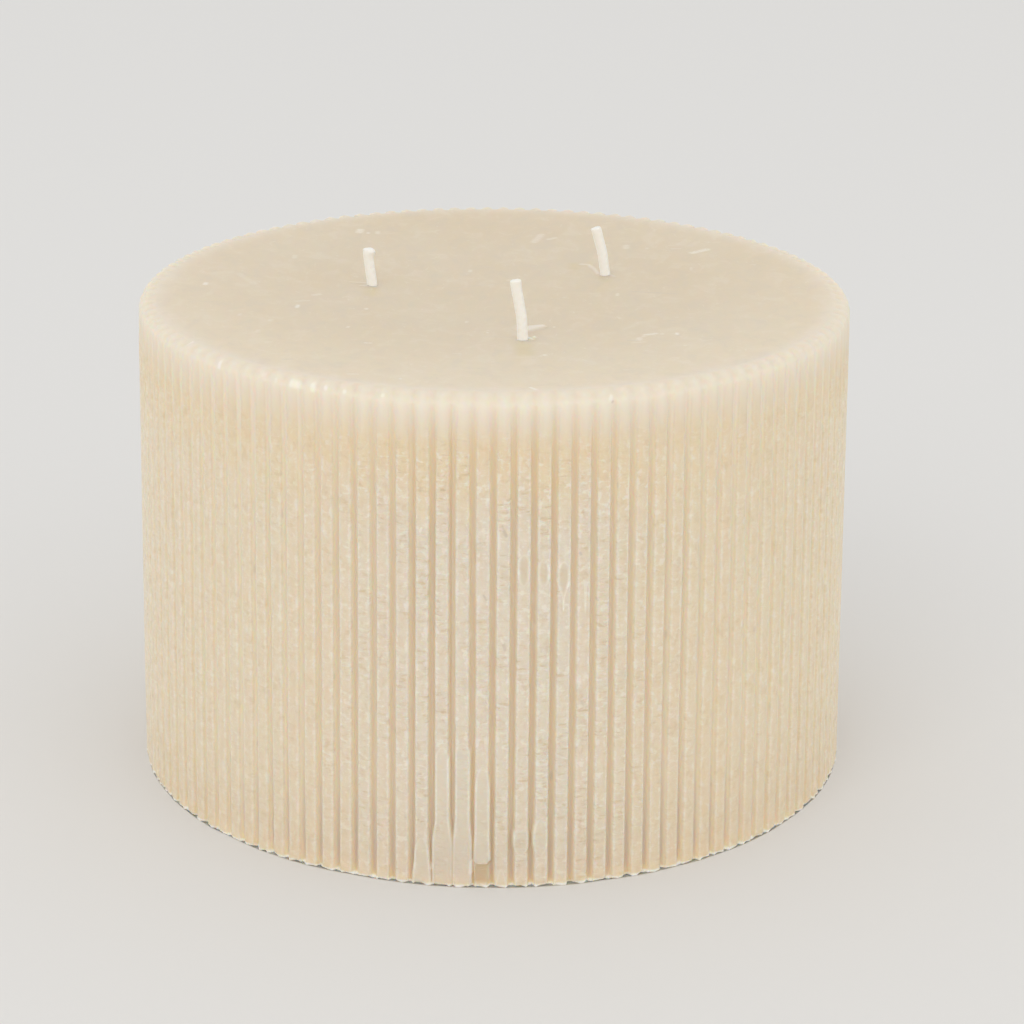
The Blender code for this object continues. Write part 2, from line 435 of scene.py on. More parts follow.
def makeWaxBody(materials, wickPlaces):
    # the grid of the side, closed by a flat filling of the top face and one of the base
    grid, rib = makeBodyGrid()
    rowCount, columns = grid.shape[:2]
    points = grid.reshape(-1, 3)
    sideFaces = gridFaces(rowCount, columns)

    def weld(triangles, edge, start):
        # a filling's numbers become the body's: its edge is a row of the side, the rest is new
        return np.where(triangles < columns, triangles + edge, triangles - columns + start)

    # top face over the last row
    flat = np.concatenate([grid[-1, :, :2] / mm, topPoints(wickPlaces)])
    spots, tops = fillFlat(flat, [list(range(columns))])
    high, pale = topHeights(spots[columns:], wickPlaces)
    topStart = len(points)
    points = np.concatenate([points, np.column_stack([spots[columns:], high]) * mm])
    topFaces = weld(tops, (rowCount - 1) * columns, topStart)
    print("top face:", len(topFaces), "triangles, moved points", len(spots) - len(flat))

    # base face round the three recesses for the tabs
    count, step = recess["steps"], 5.0
    bore, baseCount = recess["radius"] / mm, body["baseRing"][1]
    x, y = np.meshgrid(np.arange(-72, 72, step), np.arange(-72, 72, step))
    coarse = np.stack([x.ravel() + (y.ravel() / step % 2) * step / 2, y.ravel()], 1)
    coarse = coarse[(np.hypot(*coarse.T) < 70) & (wickGap(coarse, wickPlaces) > 12.5)]
    circles = [ring(bore, count, place) for place in wickPlaces]
    flat = np.concatenate([grid[0, :, :2] / mm, ring(*body["baseRing"]), *circles, coarse])
    firsts = [baseCount + i * count for i in range(len(wickPlaces))]
    loops = [list(range(columns + first, columns + first + count)) for first in firsts]
    spots, bottoms = fillFlat(flat, [list(range(columns))] + loops)
    inHole = wickGap(spots[bottoms].mean(1), wickPlaces) < bore - 0.02
    baseStart = len(points)
    base = np.column_stack([spots[columns:], np.zeros(len(spots) - columns)])
    points = np.concatenate([points, base * mm])
    baseFaces = weld(bottoms[~inHole][:, ::-1], 0, baseStart)

    # each recess with its pocket for the tab's neck
    faces = sideFaces.tolist() + topFaces.tolist() + baseFaces.tolist()
    outline, join = recess["outline"], np.arange(count)
    after = (join + 1) % count
    for place, first in zip(wickPlaces, firsts):
        rings = [np.column_stack([ring(radius / mm, count, place), np.full(count, z / mm)])
                 for radius, z in outline]
        start, first = len(points), baseStart + first
        last, tip = start + (len(outline) - 1) * count, start + len(outline) * count
        middle = [[place[0] * mm, place[1] * mm, outline[-1][1]]]
        points = np.concatenate([points, np.concatenate(rings) * mm, middle])
        wall = np.stack([first + join, first + after, start + after, start + join], 1)
        pocket = gridFaces(len(outline), count, start)
        faces += wall.tolist() + pocket.tolist() + fan(last, count, tip).tolist()

    piece = addPiece("waxBody", points, faces, materials, "wax_body")
    mesh = piece.data
    kinds = np.full(len(faces), 2)
    kinds[:len(sideFaces) + len(topFaces)] = 1
    kinds[:len(sideFaces)] = 0
    mesh.polygons.foreach_set("material_index", kinds)

    # crest numbers and heights as a map on the side, so that the ribs' pattern follows them
    loopPoint = np.zeros(len(mesh.loops), np.int32)
    mesh.loops.foreach_get("vertex_index", loopPoint)
    u = np.where(loopPoint < rowCount * columns, rib[loopPoint % columns], 0.0)
    v = points[loopPoint, 2] / mm / 10
    quads = u[:len(sideFaces) * 4].reshape(-1, 4)
    half = body["ribs"] / 2
    wrap = (quads.max(1) - quads.min(1)) > half
    quads[wrap] = np.where(quads[wrap] < half, quads[wrap] + body["ribs"], quads[wrap])
    layer = mesh.uv_layers.new(name="ribMap")
    layer.data.foreach_set("uv", np.stack([u, v], 1).ravel())

    # the ridges' paleness, a painted highlight, kept on the top face's points
    values = np.concatenate([np.zeros(topStart), pale, np.zeros(len(points) - topStart - len(pale))])
    layer = mesh.attributes.new("ridge", "FLOAT", "POINT")
    layer.data.foreach_set("value", values.astype(np.float32))
    triangles = sum(len(face) - 2 for face in faces)
    print("wax body:", len(mesh.vertices), "points,", triangles, "triangles")


# wick tabs

tab = {
    "radius": 10.0 * mm,
    "thickness": 0.4 * mm,
    "under": 0.5 * mm,  # above the base
    "neckHeight": 9.0 * mm,
    "neckBore": 1.35 * mm,
    "neckWall": 0.35 * mm,
    "beadRadius": 6.6 * mm,  # stamped ring
    "beadHeight": 0.28 * mm,
    "beadWidth": 0.9 * mm,
    "crimp": 0.16 * mm,  # how far the neck is pinched, and at what height
    "crimpHeight": 6.2 * mm,
    "steps": 72,
}

recess = {
    "radius": 10.3 * mm,
    "steps": 48,
    "outline": [(10.3 * mm, 0.6 * mm), (10.3 * mm, 1.25 * mm),
                (2.05 * mm, 1.25 * mm), (2.05 * mm, 9.9 * mm)],
}


def makeTab(name, place, material, replaced):
    # a profile (radius, height) spun about the wick: underside out to a rolled edge, back over
    # the top with a bead b exp(-((r - R) / w)^2), and up a neck that is crimped in three places
    under, top = tab["under"], tab["under"] + tab["thickness"]
    bore, neck = tab["neckBore"], tab["neckBore"] + tab["neckWall"]
    neckTop, edge, count = under + tab["neckHeight"], tab["radius"], tab["steps"]

    def beaded(z, radii):
        width = tab["beadWidth"]
        return [(r, z + tab["beadHeight"] * bell(r - tab["beadRadius"], width)) for r in radii]

    disc = np.linspace(neck + 0.5 * mm, edge - 0.2 * mm, 22)
    up = np.linspace(top + 0.5 * mm, neckTop - 0.15 * mm, 12)
    outline = beaded(under, disc)
    outline += [(edge - 0.05 * mm, under + 0.06 * mm), (edge, under + 0.2 * mm)]
    outline += [(edge - 0.05 * mm, top - 0.06 * mm)]
    outline += beaded(top, disc[::-1])
    outline += [(neck + 0.15 * mm, top + 0.15 * mm)] + [(neck, z) for z in up]
    outline += [(neck - 0.08 * mm, neckTop), (bore + 0.08 * mm, neckTop)] + [(bore, z) for z in up[::-1]]
    outline += [(bore, under + 0.35 * mm), (bore + 0.28 * mm, under)]
    radius, height = np.array(outline).T[:, :, None]
    angle = np.arange(count) * 2 * np.pi / count
    crimp = tab["crimp"] * smoothStep(0.55, 1.0, np.cos(3 * angle))
    r = radius - crimp * bell(height - tab["crimpHeight"], 1.3 * mm) * (radius < neck + 0.1 * mm)
    x, y = place[0] * mm + r * np.cos(angle), place[1] * mm + r * np.sin(angle)
    points = np.stack([x, y, height + 0 * r], -1).reshape(-1, 3)
    faces = gridFaces(len(outline), count, closed=True).tolist()
    addPiece(name, points, faces, [material], replaced)


# wicks

wick = {
    "thickness": 2.1 * mm,
    "start": 0.5 * mm,
    "plait": 4.4 * mm,  # length of one turn of the plait
    "strandRadius": 0.92 * mm,
    "across": 0.13 * mm,  # how far a strand swings sideways, and
    "deep": 0.10 * mm,  # how far back and forth
    "blend": 9000.0,  # how sharply the strands part, per metre
    "creep": 0.04 * mm,  # wax drawn up the foot
    "fray": 0.12 * mm,
    "round": 28,
}

# lean in degrees towards -X at the foot and at the tip, and the cut end's bulge in mm
stubs = {
    "front": {"long": 12.4, "foot": 3.1, "tip": 10.3, "bend": (3.4, 5.6), "bulge": 0.10, "seed": 3},
    "right": {"long": 10.7, "foot": 8.6, "tip": 15.3, "bend": (3.6, 6.6), "bulge": 0.05, "seed": 4},
    "left": {"long": 8.1, "foot": 7.6, "tip": 3.0, "bend": (5.0, 7.4), "bulge": 0.45, "seed": 5},
}


def makeWick(side, place, foot, material):
    # a tube along a leaning path. Its radius in each direction is how far the three plaited
    # strands reach there, c.u + sqrt(r^2 - |c|^2 + (c.u)^2), blended by log(sum(exp(k d))) / k
    # so that the creases look filled with wax. Strand i swings as (A sin p, B sin 2p), with p
    # a third of a turn apart
    stub, count = stubs[side], wick["round"]
    draws = np.random.default_rng(stub["seed"])
    end = foot + stub["long"] * mm
    s = np.concatenate([
        np.arange(wick["start"], foot - 1.2 * mm, 0.6 * mm),
        np.arange(foot - 1.2 * mm, end - 0.25 * mm, 0.14 * mm),
        [end - 0.14 * mm, end - 0.05 * mm, end],
    ])
    above = np.maximum(s - foot, 0)
    low, high = stub["bend"]
    lean = stub["foot"] * smoothStep(0, 1.0, above / mm)
    lean = np.radians(lean + (stub["tip"] - stub["foot"]) * smoothStep(low, high, above / mm))
    step = np.diff(s, prepend=s[0])
    x = -np.cumsum(np.where(above > 0, np.sin(lean), 0) * step)
    z = s[0] + np.cumsum(np.cos(lean) * step)

    turn = np.arange(count) * 2 * np.pi / count
    swing = 2 * np.pi * s / wick["plait"]
    u = np.stack([np.cos(turn), np.sin(turn)])
    reach = []
    for i in range(3):
        p = swing + i * 2 * np.pi / 3
        centre = np.stack([wick["across"] * np.sin(p), wick["deep"] * np.sin(2 * p)], 1)
        dot = centre @ u
        inside = wick["strandRadius"]**2 - (centre**2).sum(1)[:, None] + dot**2
        strand = dot + np.sqrt(np.maximum(inside, 0))
        reach.append(np.where(inside > 0, strand, 0.3 * wick["strandRadius"]))
    radius = np.log(sum(np.exp(wick["blend"] * r) for r in reach)) / wick["blend"]
    radius *= wick["thickness"] / 2 / (wick["across"] + wick["strandRadius"])

    # wax has crept up the foot, the tip is ragged and may bulge
    radius += wick["creep"] * np.exp(-above / (0.9 * mm))[:, None] * (above > 0)[:, None]
    fromTip = (end - s)[:, None]
    ragged = draws.standard_normal(count)
    ragged = (ragged + np.roll(ragged, 1) + np.roll(ragged, 2)) / 3
    radius += wick["fray"] * bell(fromTip, 0.5 * mm) * ragged
    bulge = stub["bulge"] * mm * bell(fromTip - 0.8 * mm, 0.75 * mm)
    radius += bulge * np.clip(0.35 + np.cos(turn), 0, 2) * 0.8
    radius *= np.where(fromTip < 0.1 * mm, 0.82, np.where(fromTip < 0.2 * mm, 0.95, 1.0))
    radius[-1] *= 0.75
    radius[0] *= 0.9

    # each ring stands square to the path
    square = np.stack([np.cos(lean), np.zeros_like(lean), np.sin(lean)], 1)[:, None, :]
    points = np.stack([place[0] * mm + x, np.full_like(x, place[1] * mm), z], 1)[:, None, :]
    points = points + square * (radius * np.cos(turn))[:, :, None]
    points = points + np.array([0, 1, 0]) * (radius * np.sin(turn))[:, :, None]
    points[-2, :, 2] += 0.05 * mm * draws.standard_normal(count)
    tips = np.stack([points[0].mean(0), points[-1].mean(0) - np.array([0, 0, 0.12 * mm])])
    tail = points.size // 3
    faces = gridFaces(len(s), count).tolist() + fan(0, count, tail)[:, [1, 0, 2]].tolist()
    faces += fan(tail - count, count, tail + 1).tolist()
    points = np.concatenate([points.reshape(-1, 3), tips])
    addPiece("wick" + side.capitalize(), points, faces, [material], "wick_" + side)


# material tools

# the node tree in work: that of the last material, group or world begun
drawing = {"tree": None}


def give(node, values):
    # a node's inputs from numbers, colours without alpha or other nodes' outputs
    for name, value in values.items():
        socket = node.inputs[name]
        if isinstance(value, bpy.types.NodeSocket):
            drawing["tree"].links.new(value, socket)
        else:
            socket.default_value = (*value, 1.0) if socket.type == "RGBA" else value


def newNode(kind, values={}, **settings):
    made = drawing["tree"].nodes.new("ShaderNode" + kind)
    for name, value in settings.items():
        setattr(made, name, value)
    give(made, values)
    return made


def calc(operation, values, clamp=False):
    # the operation on the first two numbers, then on its result and each further one
    found = values[0]
    for value in values[1:]:
        found = newNode("Math", {0: found, 1: value}, operation=operation, use_clamp=clamp).outputs[0]
    return found


def times(*values):
    return calc("MULTIPLY", values)


def plus(*values):
    return calc("ADD", values)


def minus(*values):
    return calc("SUBTRACT", values)


def larger(*values):
    return calc("MAXIMUM", values)


def unsigned(value):
    return newNode("Math", {0: value}, operation="ABSOLUTE").outputs[0]


def ramp(value, low, high, start=0.0, end=1.0):
    # smooth change from start to end while value goes from low to high
    values = {"Value": value, "From Min": low, "From Max": high, "To Min": start, "To Max": end}
    return newNode("MapRange", values, interpolation_type="SMOOTHSTEP").outputs["Result"]


def mixColour(factor, first, second, blend="MIX"):
    values = {0: factor, 6: first, 7: second}
    return newNode("Mix", values, data_type="RGBA", blend_type=blend).outputs[2]


def noise(vector, scale, detail=2.0, rough=0.5, distort=0.0):
    values = {"Vector": vector, "Scale": scale, "Detail": detail,
              "Roughness": rough, "Distortion": distort}
    return newNode("TexNoise", values).outputs["Fac"]


def vectors(operation, values):
    # a vector, or the number that some operations give instead
    made = newNode("VectorMath", values, operation=operation)
    return made.outputs["Value" if operation in ("LENGTH", "DISTANCE", "DOT_PRODUCT") else "Vector"]


def placeInMm():
    return vectors("SCALE", {0: newNode("TexCoord").outputs["Object"], "Scale": 1 / mm})


def fromAxis(place):
    # the place laid flat, and its distance from the axis
    flat = vectors("MULTIPLY", {0: place, 1: (1.0, 1.0, 0.0)})
    return flat, vectors("LENGTH", {0: flat})


def stretched(place, scale, turn=(0.0, 0.0, 0.0)):
    return newNode("Mapping", {"Vector": place, "Rotation": turn, "Scale": scale}).outputs[0]


def addBump(shader, relief, strength=1.0):
    # relief in mm
    bump = newNode("Bump", {"Height": relief, "Strength": strength, "Distance": mm})
    give(shader, {"Normal": bump.outputs[0]})


def newGroup(name, inputs, outputs, kind="Float"):
    # a node group of numbers, and of vectors where an input has no default
    tree = bpy.data.node_groups.new(name, "ShaderNodeTree")
    drawing["tree"] = tree
    for label, value in inputs.items():
        given = "NodeSocketVector" if value is None else "NodeSocketFloat"
        socket = tree.interface.new_socket(name=label, in_out="INPUT", socket_type=given)
        if value is not None:
            socket.default_value = value
    for label in outputs:
        tree.interface.new_socket(name=label, in_out="OUTPUT", socket_type="NodeSocket" + kind)
    return tree, tree.nodes.new("NodeGroupInput").outputs, tree.nodes.new("NodeGroupOutput")


def useGroup(group, values):
    return newNode("Group", values, node_tree=group).outputs


def startMaterial(name):
    material = bpy.data.materials.new(name)
    material.use_nodes = True
    drawing["tree"] = material.node_tree
    return material, material.node_tree.nodes["Principled BSDF"]


def makeGrainGroup():
    # fine dry grain and broad cloudiness, for every surface of the candle
    inputs = {"Vector": None, "Grain Scale": 1500.0, "Cloud Scale": 60.0}
    group, given, result = newGroup("surfaceGrain", inputs, ["Grain", "Cloud"])
    fine = noise(given["Vector"], given["Grain Scale"], 3.0, 0.6)
    cloud = noise(given["Vector"], given["Cloud Scale"], 3.0, 0.55)
    give(result, {"Grain": fine, "Cloud": ramp(cloud, 0.3, 0.7)})
    return group


def grained(grain, place, fine, cloudy):
    return useGroup(grain, {"Vector": place, "Grain Scale": fine, "Cloud Scale": cloudy})


def makeFleckGroup():
    # sparse specks: a cell shows one where its own random number is under a limit, and a
    # different one, for the other mask, where it is over another
    inputs = {"Vector": None, "Scale": 300.0, "Share": 0.1, "Other Share": 0.0, "Size": 0.25}
    group, given, result = newGroup("paleFlecks", inputs, ["Mask", "Other"])
    place = {name: given[name] for name in ("Vector", "Scale")}
    cell = newNode("TexVoronoi", place, feature="F1").outputs
    chance = newNode("SeparateColor", {"Color": cell["Color"]}).outputs
    reach = times(given["Size"], plus(chance["Green"], 0.5))
    dot = ramp(calc("DIVIDE", (cell["Distance"], reach)), 1.0, 0.3)
    chosen = calc("LESS_THAN", (chance["Red"], given["Share"]))
    other = calc("GREATER_THAN", (chance["Red"], minus(1.0, given["Other Share"])))
    give(result, {"Mask": times(chosen, dot), "Other": times(other, dot)})
    return group


def flecked(flecks, place, scale, dot, share, other=0.0):
    values = {"Vector": place, "Scale": scale, "Share": share, "Other Share": other, "Size": dot}
    return useGroup(flecks, values)


def makeDripGroup():
    # the same outline as dripReach() in nodes, with a pale line along its edge; both fade
    # towards the ends
    inputs = {
        "Rib": 0.0, "Height": 0.0, "Middle": 0.0, "Top": 10.0, "Bottom": 0.0, "Upper": 0.4, "Lower": 0.4,
        "Flare Low": 1.0, "Flare High": 2.0, "Top End": 1.0, "Bottom End": 1.0, "Line": 0.12,
    }
    group, given, result = newGroup("frozenDrip", inputs, ["Inside", "Edge"])
    half = ramp(given["Height"], given["Flare Low"], given["Flare High"], given["Lower"], given["Upper"])
    under, over = minus(given["Top"], given["Height"]), minus(given["Height"], given["Bottom"])
    for gap, end in ((under, given["Top End"]), (over, given["Bottom End"])):
        short = minus(1.0, calc("DIVIDE", (gap, end), clamp=True))
        half = times(half, calc("SQRT", (minus(1.0, times(short, short)), 0.0)))
    within = minus(half, unsigned(minus(given["Rib"], given["Middle"])))
    inner = ramp(within, 0.02, plus(given["Line"], 0.02))
    fromTop = ramp(under, 0.0, given["Top End"], 0.4, 1.0)
    fromLow = ramp(over, 0.0, given["Bottom End"], 0.5, 1.0)
    near = times(fromTop, fromLow, ramp(within, -0.02, 0.04))
    give(result, {"Inside": near, "Edge": times(minus(1.0, inner), near)})
    return group


def makeScratchGroup():
    # distance to the line from Start to End, as a soft mask
    inputs = {"Flat Place": None, "Start": None, "End": None, "Width": 0.0004}
    group, given, result = newGroup("waxScratch", inputs, ["Mask"])
    fromStart = vectors("SUBTRACT", {0: given["Flat Place"], 1: given["Start"]})
    along = vectors("SUBTRACT", {0: given["End"], 1: given["Start"]})
    part = vectors("DOT_PRODUCT", {0: fromStart, 1: along})
    whole = vectors("DOT_PRODUCT", {0: along, 1: along})
    share = calc("DIVIDE", (part, whole), clamp=True)
    gap = vectors("DISTANCE", {0: fromStart, 1: vectors("SCALE", {0: along, "Scale": share})})
    line = calc("SUBTRACT", (1.0, calc("DIVIDE", (gap, given["Width"]))), clamp=True)
    give(result, {"Mask": ramp(line, 0.0, 0.8)})
    return group


# wax materials

wax = {
    "groove": (0.832, 0.729, 0.552),  # smooth wax down in the grooves
    "grooveTop": (0.855, 0.735, 0.525),  # and nearer the shoulder
    # painted light: the grooves paler away from the front, as if light filled them where they are seen
    # at a slant
    "grooveSideLight": (0.925, 0.85, 0.72),  # and away from the front
    "clean": (0.82, 0.675, 0.488),  # on the crests there
    "frost": (0.792, 0.696, 0.58),  # dry bloom on the crests
    "top": (0.715, 0.594, 0.42),
    # yellower wax towards the rim; on the top face it also carries painted light, lightest at the front
    "nearRim": (0.80, 0.682, 0.495),
    # whiter shoulder: partly its paler wax, partly painted light from above
    "shoulder": (0.795, 0.718, 0.60),
    # partly frost and partly painted light from above
    "band": (0.865, 0.80, 0.69),  # under the shoulder
    # also used for painted highlights and painted light on the top and the shoulder
    "pale": (0.90, 0.84, 0.74),  # edges, flecks and scratches
    "bright": (0.95, 0.89, 0.79),  # edges of the runs
    "drip": (0.765, 0.69, 0.575),
    "bare": (0.66, 0.52, 0.35),
    "warm": (0.71, 0.60, 0.39),
    # dark marks, and painted shade towards the foot and in front of two ridges on the top
    "shade": (0.62, 0.55, 0.46),
    "frostLine": (72.0, 88.0),  # mm up the side
    "ribWidth": 3.9,  # mm, for the small marks
    "scatter": 5.0 * mm,
    "rough": (0.42, 0.60),
}

# pale, dark and warm marks on the top face: start x and y, end x and y and width in mm, and
# how strong
scratches = [
    (30.4, -26.4, 32.3, -25.6, 1.0, 0.75),
    (29.8, -27.7, 30.4, -26.4, 0.7, 0.4),
    (28.9, -30.2, 29.0, -28.8, 1.0, 0.5),
    (27.6, -32.3, 30.0, -32.0, 0.6, 0.35),
    (33.6, -26.1, 33.7, -25.4, 0.7, 0.5),
    (36.6, -26.6, 36.7, -25.5, 0.7, 0.9),
    (28.6, 40.2, 28.7, 42.0, 1.2, 0.5),
    (33.1, 39.3, 33.2, 39.8, 0.7, 0.35),
    (38.7, 38.9, 40.4, 38.9, 0.6, 0.35),
    (42.0, 22.3, 42.1, 24.2, 0.5, 0.35),
    (-51.6, -16.9, -51.5, -15.8, 0.7, 0.35),
    (-45.1, -19.8, -45.0, -18.9, 0.8, 0.35),
    (-46.9, -29.1, -46.8, -27.6, 0.8, 0.25),
    (43.0, 35.4, 46.2, 37.6, 1.3, 0.8),
    (8.4, 45.6, 10.0, 51.0, 1.3, 0.5),
    (11.6, 47.6, 13.1, 48.6, 0.9, 0.5),
    (7.2, -67.2, 8.3, -68.7, 0.55, 1.0),
    (-25.2, -34.1, -24.2, -34.1, 0.6, 0.7),
    (-27.2, -58.8, -25.6, -58.7, 0.6, 0.5),
    (-30.7, 50.2, -30.5, 52.0, 1.3, 0.8),
    (-26.6, 49.9, -26.6, 51.2, 0.9, 0.45),
    (-60.7, 5.0, -60.6, 6.2, 0.8, 1.0),
    (-43.7, 29.0, -43.7, 30.8, 0.9, 0.4),
    (-37.6, 1.4, -36.7, 2.1, 1.0, 0.5),
    (-40.5, -9.0, -40.4, -7.2, 0.7, 0.9),
    (-41.0, -4.2, -38.6, -3.2, 0.8, 0.35),
    (-54.4, 14.4, -50.6, 7.6, 1.3, 0.22),
    (-5.5, 22.6, -5.4, 23.8, 0.7, 0.5),
    (-5.6, -16.4, -5.5, -15.6, 0.6, 0.5),
    (-29.4, -22.6, -29.2, -21.8, 0.6, 0.6),
    (25.6, 4.2, 25.7, 5.7, 0.6, 0.6),
    (2.6, 16.6, 4.4, 16.8, 0.6, 0.5),
]
# dark lines: cracks, and painted shade in front of the ridges by the front and the left wick, the fourth
# and the fifth
cracksAndShade = [
    (-1.4, -27.6, 3.4, -27.4, 0.45, 0.5),
    (28.6, 7.2, 37.9, 4.8, 0.6, 0.5),
    (-9.1, 10.0, 2.5, 14.3, 0.5, 0.3),
    (7.6, -22.4, 10.6, -20.4, 1.1, 0.5),
    (-31.0, 11.6, -27.2, 11.4, 0.5, 0.4),
    (27.0, -30.4, 28.4, -30.6, 0.9, 0.5),
    (36.9, -27.5, 37.0, -26.8, 0.7, 0.45),
    (35.3, -15.9, 36.5, -15.8, 0.7, 0.35),
    (-43.5, -21.7, -43.4, -21.1, 0.8, 0.4),
    (-40.1, -49.4, -38.8, -49.0, 0.8, 0.45),
    (-35.9, -26.5, -35.8, -25.4, 0.7, 0.3),
]
warmSpots = [
    (6.0, -34.0, 6.4, -40.5, 2.9, 0.8),
    (-26.0, 7.6, -26.1, 3.6, 2.4, 0.7),
    (17.2, 28.6, 17.0, 25.8, 2.3, 0.8),
    (23.4, 18.4, 23.5, 15.6, 2.0, 0.6),
]

# small marks on the side: the same with crest number and mm up for x and y, and the colour
sideMarks = [
    (-0.07, 74.7, 0.02, 73.6, 0.3, 0.4, "shade"),
    (0.02, 73.6, 0.12, 72.7, 0.5, 0.75, "shade"),
    (-0.26, 73.4, -0.22, 70.6, 0.5, 0.7, "pale"),
    (0.02, 51.0, 0.10, 49.8, 0.5, 0.55, "shade"),
    (-0.08, 51.8, 0.0, 51.2, 0.4, 0.6, "pale"),
    (3.78, 68.7, 3.82, 68.4, 0.4, 0.6, "shade"),
    (4.68, 59.2, 4.72, 58.9, 0.4, 0.5, "shade"),
    (-0.96, 60.8, -0.82, 59.8, 0.3, 0.5, "shade"),
    (-4.10, 73.0, -4.02, 73.7, 0.35, 0.9, "pale"),
    # these ten pale marks are painted highlights, glints on the rounded rib tips at the shoulder
    (-10.95, 98.8, -10.65, 98.6, 1.1, 1.0, "pale"),
    (-9.78, 99.1, -9.74, 98.4, 0.8, 0.9, "pale"),
    (-9.05, 99.1, -9.02, 99.0, 0.6, 0.9, "pale"),
    (-15.90, 99.2, -15.86, 98.4, 0.55, 1.0, "pale"),
    (-19.35, 99.9, -19.30, 99.9, 0.5, 0.7, "pale"),
    (-11.95, 99.0, -11.92, 98.6, 0.45, 0.5, "pale"),
    (-12.85, 99.2, -12.75, 99.2, 0.5, 0.35, "pale"),
    (-8.0, 98.9, -7.97, 98.9, 0.55, 0.9, "pale"),
    (-6.0, 99.0, -5.97, 99.0, 0.5, 0.8, "pale"),
    (5.24, 98.4, 5.30, 98.9, 0.6, 0.9, "pale"),
    (5.34, 97.9, 5.38, 98.0, 0.4, 0.5, "shade"),
    (-1.51, 3.2, -1.47, 5.4, 0.7, 0.8, "pale"),
    (-3.52, 3.6, -3.47, 4.4, 0.6, 0.7, "pale"),
]


def setWax(shader):
    # light goes some millimetres into the wax, red the furthest
    give(shader, {
        "Subsurface Weight": 1.0, "Subsurface Radius": (1.0, 0.72, 0.45),
        "Subsurface Scale": wax["scatter"], "IOR": 1.43, "Specular IOR Level": 0.45,
    })


def layers(colour, coats):
    # wax colours laid over a colour one after another, each by its factor
    for factor, name in coats:
        colour = mixColour(factor, colour, wax[name])
    return colour


def strongest(scratch, place, lines):
    # the strongest of several lines given as start, end, width and strength
    masks = []
    for x, y, toX, toY, width, strength in lines:
        line = {"Flat Place": place, "Start": (x, y, 0.0), "End": (toX, toY, 0.0), "Width": width}
        masks.append(times(useGroup(scratch, line)["Mask"], strength))
    return larger(*masks)


def makeFaceGroup():
    # colour of the top face, lighter towards the rim and most so at the front, in part painted light,
    # and whiter over its last millimetres and the shoulder, partly pale wax and partly painted light
    # from above
    inputs = {"Radius": 0.0, "Back": 0.0, "Cloud": 0.5}
    group, given, result = newGroup("waxFace", inputs, ["Color"], "Color")
    forward = minus(given["Radius"], times(given["Back"], 0.35))
    colour = layers(wax["top"], [
        (ramp(forward, 28.0, 102.0), "nearRim"),
        (times(given["Cloud"], 0.25), "drip"),
        (ramp(given["Radius"], 65.5, 73.0), "shoulder"),
    ])
    give(result, {"Color": colour})
    return group


def faceColour(face, place, radius, cloud):
    back = newNode("SeparateXYZ", {0: place}).outputs["Y"]
    return useGroup(face, {"Radius": radius, "Back": back, "Cloud": cloud})["Color"]


def makeWaxTop(grain, flecks, scratch, face, wickPlaces):
    # pale scratches, fine hairs and dots, with a few dark lines, two of them painted shade in front of
    # ridges; painted light in a ring round each wick's foot, and a painted highlight along the ridges
    material, shader = startMaterial("waxTop")
    place = placeInMm()
    flat, radius = fromAxis(place)
    # painted highlight along the raised ridges
    ridge = newNode("Attribute", attribute_name="ridge").outputs["Fac"]
    grains = grained(grain, place, 1.7, 0.045)
    inside = ramp(radius, 70.4, 69.4)
    lying = stretched(place, (0.9, 0.62, 1.0), (0.0, 0.0, 0.12))
    hairs = noise(lying, 0.5, 4.0, 0.68, 1.6)
    mottle = noise(lying, 0.24, 3.0, 0.6, 0.6)
    dots = flecked(flecks, lying, 0.17, 0.10, 0.20, 0.12)
    marked = times(strongest(scratch, flat, scratches), ramp(grains["Grain"], 0.35, 0.55, 0.5, 1.0))
    pale = larger(marked, ramp(hairs, 0.58, 0.74, 0.0, 0.30))
    pale = plus(pale, ramp(mottle, 0.50, 0.70, 0.0, 0.16))
    # painted light: a pale ring round each wick's foot, lifting the shade that falls round it
    paintedLightRoundWicks = [(x, y, x + 0.1, y, 1.9, 0.7) for x, y in wickPlaces]
    pale = larger(pale, times(dots["Mask"], 0.75), strongest(scratch, flat, paintedLightRoundWicks), ridge)
    dark = larger(strongest(scratch, flat, cracksAndShade), ramp(hairs, 0.42, 0.28, 0.0, 0.32))
    dark = larger(dark, times(dots["Other"], 0.25))
    dark = plus(dark, ramp(mottle, 0.50, 0.32, 0.0, 0.28))
    colour = layers(faceColour(face, place, radius, grains["Cloud"]), [
        (strongest(scratch, flat, warmSpots), "warm"),
        (times(dark, inside, 0.6), "shade"),
        (calc("MULTIPLY", (times(pale, inside), 0.85), clamp=True), "pale"),
    ])
    rough = ramp(grains["Cloud"], 0.0, 1.0, wax["rough"][0] - 0.04, wax["rough"][0] + 0.05)
    give(shader, {"Base Color": colour, "Roughness": rough})
    addBump(shader, plus(times(grains["Grain"], 0.02), times(hairs, 0.02)))
    setWax(shader)
    return material


def makeWaxBase(grain, flecks):
    # levelled on a hot plate: broad streaks across it, cloudy, with a few pits
    material, shader = startMaterial("waxBase")
    place = placeInMm()
    grains = grained(grain, place, 1.5, 0.06)
    streaks = noise(stretched(place, (0.06, 1.0, 1.0), (0.0, 0.0, 0.5)), 0.9, 3.0, 0.6, 0.3)
    pits = flecked(flecks, place, 0.2, 0.12, 0.12, 0.05)
    colour = layers(wax["frost"], [
        (grains["Cloud"], "nearRim"),
        (ramp(streaks, 0.50, 0.68, 0.0, 0.4), "pale"),
        (ramp(streaks, 0.44, 0.30, 0.0, 0.25), "bare"),
        (times(pits["Mask"], 0.6), "bare"),
    ])
    give(shader, {"Base Color": colour, "Roughness": ramp(streaks, 0.3, 0.7, 0.45, 0.62)})
    addBump(shader, minus(times(streaks, 0.12), times(pits["Mask"], 0.15)))
    setWax(shader)
    return material


